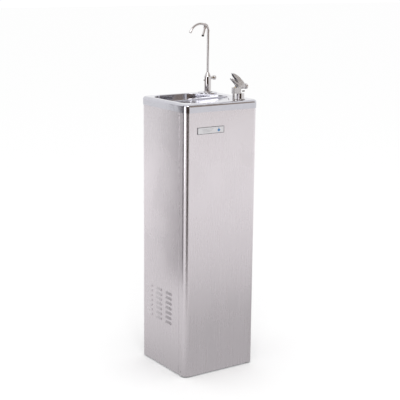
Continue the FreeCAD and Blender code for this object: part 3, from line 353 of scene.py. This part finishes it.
def tap_seals():
    """Rubber ring round the foot of each tap."""
    margin, overlap, ring_height = 0.8 * MM, 1.5 * MM, 0.9 * MM
    boss_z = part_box("top_basin")[1].z
    for name, node, foot_z in (("bubbler_base_seal", "bubbler_column", DECK_Z),
                               ("filler_base_seal", "filler_column", boss_z)):
        low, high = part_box(node)
        foot = Vector(((low.x + high.x) / 2, (low.y + high.y) / 2, foot_z))
        outer = (high.y - low.y) / 2
        seal_ring(name, foot, outer + margin, outer - overlap, ring_height)


def socket_blades():
    """Three flat contacts in the power inlet."""
    blade_size = (2.0 * MM, 13 * MM, 4.0 * MM)
    set_back = 9 * MM
    low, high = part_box("power_inlet")
    middle = (low + high) / 2
    for name, shift, lift in (("contact_left", -6.5, -2.0), ("contact_right", 6.5, -2.0),
                              ("contact_earth", 0.0, 2.5)):
        blade = add_block((middle.x + shift * MM, high.y - set_back, middle.z + lift * MM), blade_size)
        choose_faces(blade, lambda at, way: way.y > 0.9)
        bpy.ops.transform.resize(value=(0.6, 1, 0.7))
        settle(blade, name, "steel", 0.3 * MM)


def dial_marks():
    """Raised ticks round the thermostat knob, longer at the cold end."""
    tick_count, first_angle, tick_turn = 10, 225, 30
    knob_gap, knob_clearance = 1.0 * MM, 3.2 * MM
    tick_thick, tick_width = 0.4 * MM, 0.9 * MM
    low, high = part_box("thermostat_knob")
    middle = (low + high) / 2
    plate_face = low.y - knob_gap
    radius = (high.x - low.x) / 2 + knob_clearance
    for k in range(tick_count):
        angle = math.radians(first_angle - tick_turn * k)
        length = (2.2 + 0.22 * k) * MM
        reach = radius + length / 2
        clear_selection()
        bpy.ops.mesh.primitive_cube_add(size=1, location=(middle.x + reach * math.cos(angle), plate_face + 0.1 * MM,
                                                          middle.z + reach * math.sin(angle)))
        tick = bpy.context.object
        tick.scale = (length, tick_thick, tick_width)
        tick.rotation_euler = (0, -angle, 0)
        bpy.ops.object.transform_apply(location=False, rotation=True, scale=True)
        choose_faces(tick, lambda at, way: way.y > 0.9)
        bpy.ops.mesh.inset(thickness=0.12 * MM)
        settle(tick, "dial_tick_%d" % k, "white_print", 0.08 * MM)


# ---- floor, light and camera ----
def lay_floor():
    clear_selection()
    bpy.ops.mesh.primitive_plane_add(size=60, location=(0, 0, 0))
    floor = bpy.context.object
    floor.name = "floor"
    pale = bpy.data.materials.new("pale_floor")
    pale.use_nodes = True
    shader = pale.node_tree.nodes["Principled BSDF"]
    shader.inputs["Base Color"].default_value = (0.93, 0.93, 0.93, 1)
    shader.inputs["Roughness"].default_value = 0.9
    shader.inputs["Specular IOR Level"].default_value = 0.0
    floor.data.materials.append(pale)


def light_world():
    """Even white surroundings; the Standard view keeps their white pure."""
    bpy.context.scene.view_settings.view_transform = "Standard"
    world = bpy.data.worlds.new("studio")
    bpy.context.scene.world = world
    world.use_nodes = True
    world.node_tree.nodes["Background"].inputs["Color"].default_value = (1.0, 1.0, 1.0, 1)
    world.node_tree.nodes["Background"].inputs["Strength"].default_value = 1.06


def softbox(name, at, aim, width, height, power):
    lamp = bpy.data.lights.new(name, "AREA")
    lamp.shape = "RECTANGLE"
    lamp.size = width
    lamp.size_y = height
    lamp.energy = power
    holder = bpy.data.objects.new(name, lamp)
    bpy.context.scene.collection.objects.link(holder)
    holder.location = at
    holder.rotation_euler = (Vector(aim) - Vector(at)).to_track_quat("-Z", "Y").to_euler()


def show_in_reflections(board, name):
    """Makes a stage piece glow, seen by nothing but reflections; returns its node tree and shader."""
    board.name = name
    glow = bpy.data.materials.new(name)
    glow.use_nodes = True
    shader = glow.node_tree.nodes["Principled BSDF"]
    shader.inputs["Base Color"].default_value = (0, 0, 0, 1)
    shader.inputs["Specular IOR Level"].default_value = 0.0
    shader.inputs["Emission Strength"].default_value = 1.0
    board.data.materials.append(glow)
    board.visible_camera = False
    board.visible_diffuse = False
    board.visible_shadow = False
    return glow.node_tree, shader


def card(name, at, aim, width, height, shade):
    clear_selection()
    bpy.ops.mesh.primitive_plane_add(size=1, location=at)
    board = bpy.context.object
    board.scale = (width, height, 1)
    board.rotation_euler = (Vector(aim) - Vector(at)).to_track_quat("Z", "Y").to_euler()
    shader = show_in_reflections(board, name)[1]
    shader.inputs["Emission Color"].default_value = (*shade, 1)


def shaded_ground(name, at, radius):
    """Floor as the metal shows it, with the cabinet's shadow painted in: darker close to the cabinet, clear further
    away.
    """
    clear_selection()
    bpy.ops.mesh.primitive_circle_add(vertices=48, radius=radius, fill_type="NGON", location=at)
    tree, shader = show_in_reflections(bpy.context.object, name)
    coords = tree.nodes.new("ShaderNodeTexCoord")
    reach = tree.nodes.new("ShaderNodeVectorMath")
    reach.operation = "LENGTH"
    share = tree.nodes.new("ShaderNodeMath")
    share.operation = "DIVIDE"
    share.inputs[1].default_value = radius
    ramp = tree.nodes.new("ShaderNodeValToRGB")
    # painted shadow: the low stops darken the glow close to the cabinet, the high ones brighten it further away
    stops = ((0.02, 0.56), (0.12, 0.60), (0.18, 0.76), (0.30, 0.90), (0.55, 1.06), (0.90, 1.22))
    while len(ramp.color_ramp.elements) < len(stops):
        ramp.color_ramp.elements.new(0.5)
    for stop, (where, grey) in zip(ramp.color_ramp.elements, stops):
        stop.position = where
        stop.color = (grey, grey * 0.985, grey * 0.99, 1)
    tree.links.new(coords.outputs["Object"], reach.inputs[0])
    tree.links.new(reach.outputs["Value"], share.inputs[0])
    tree.links.new(share.outputs[0], ramp.inputs["Fac"])
    tree.links.new(ramp.outputs["Color"], shader.inputs["Emission Color"])


def ground_and_light():
    """White studio with a brown room behind the camera and overhead, and boards and a narrow light at the left."""
    lay_floor()
    light_world()
    softbox("key_softbox", (-1.6, -2.6, 3.2), (0, 0, 0.8), 1.6, 1.2, 30)
    card("room_card", (-2.6, -3.9, 1.75), (0, 0, 1.75), 5.5, 3.9, (0.20, 0.150, 0.115))
    card("room_right_card", (2.6, -3.9, 2.35), (0, 0, 1.9), 4.2, 3.2, (0.44, 0.375, 0.32))
    card("canopy_card", (0.3, -2.7, 3.9), (0, 0, 1.0), 4.6, 2.4, (0.30, 0.255, 0.22))
    card("left_rear_card", (-0.80, 0.40, 0.86), (0, 0, 0.86), 0.62, 1.5, (0.15, 0.137, 0.145))
    card("corner_card", (-0.76, -1.17, 0.62), (0, 0, 0.62), 0.90, 1.3, (0.035, 0.022, 0.015))
    card("left_light_card", (-1.30, -0.16, 1.02), (0, 0, 1.02), 0.26, 0.95, (3.9, 3.9, 4.0))
    shaded_ground("front_ground", (0.45, -0.15, 0.004), 5.0)


def aim_camera():
    """Camera at the front left, a little above the basin."""
    at = (-2.100, -3.120, 1.469)
    yaw, pitch, roll = math.radians(34.04), math.radians(12.72), math.radians(0.56)
    forward = Vector((math.sin(yaw) * math.cos(pitch), math.cos(yaw) * math.cos(pitch), -math.sin(pitch)))
    right = Vector((math.cos(yaw), -math.sin(yaw), 0))
    up = right.cross(forward)
    turned_right = right * math.cos(roll) + up * math.sin(roll)
    turned_up = up * math.cos(roll) - right * math.sin(roll)
    lens = bpy.data.cameras.new("camera")
    lens.lens = 93.84
    lens.sensor_width = 36
    lens.clip_end = 200
    camera = bpy.data.objects.new("camera", lens)
    bpy.context.scene.collection.objects.link(camera)
    turn = Matrix((turned_right, turned_up, -forward)).transposed().to_4x4()
    camera.matrix_world = Matrix.Translation(at) @ turn
    bpy.context.scene.camera = camera


badge_emblem()
tap_seals()
socket_blades()
dial_marks()
ground_and_light()
aim_camera()
